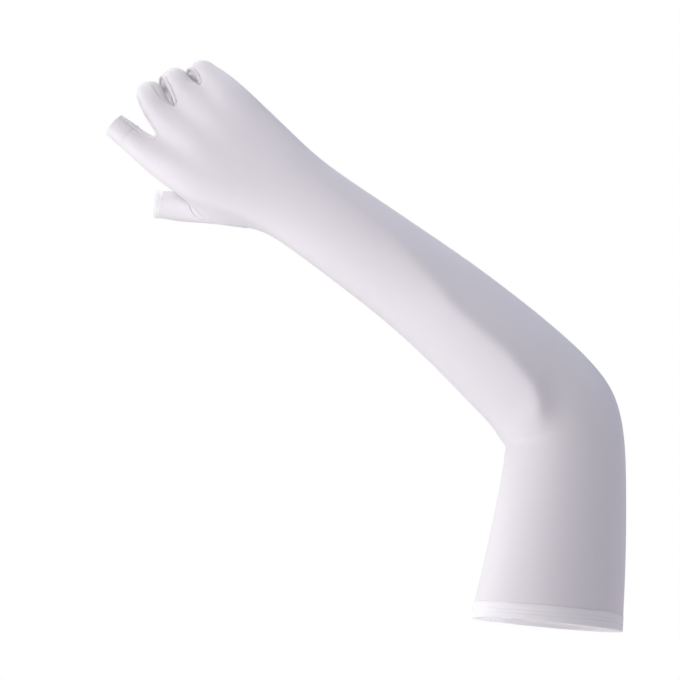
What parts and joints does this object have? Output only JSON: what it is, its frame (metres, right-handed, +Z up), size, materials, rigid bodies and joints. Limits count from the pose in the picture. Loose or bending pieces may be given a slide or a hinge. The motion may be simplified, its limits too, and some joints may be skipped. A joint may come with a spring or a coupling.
{
  "type": "sun protection arm sleeve",
  "caption": "Long white stretch sleeve shaped to a bent arm and ending in a glove with open thumb and index ends, worn to keep sun off arm and hand.",
  "frame": {"origin": "centre of the upper arm opening, in the plane of the hem's rim", "axes": "+Z runs up the upper arm from the hem to the elbow, -X points from the elbow side to the hand, -Y is the side of the back of the hand and +Y that of the palm"},
  "size_m": [0.37, 0.0955, 0.3575],
  "materials": {
    "knit_cloth": "smooth matt white stretch knit, slightly lavender in shade",
    "doubled_cloth": "doubled and stitched edge of the same white stretch knit, a little denser and lighter"
  },
  "bodies": {
    "root": {"sleeve_body": "knit_cloth", "thumb_stall": "knit_cloth", "fourchette_index_middle": "knit_cloth", "fourchette_middle_ring": "knit_cloth", "fourchette_ring_little": "knit_cloth", "hem_band": "doubled_cloth", "thumb_edge": "doubled_cloth", "index_edge": "knit_cloth"}
  },
  "joints": []
}
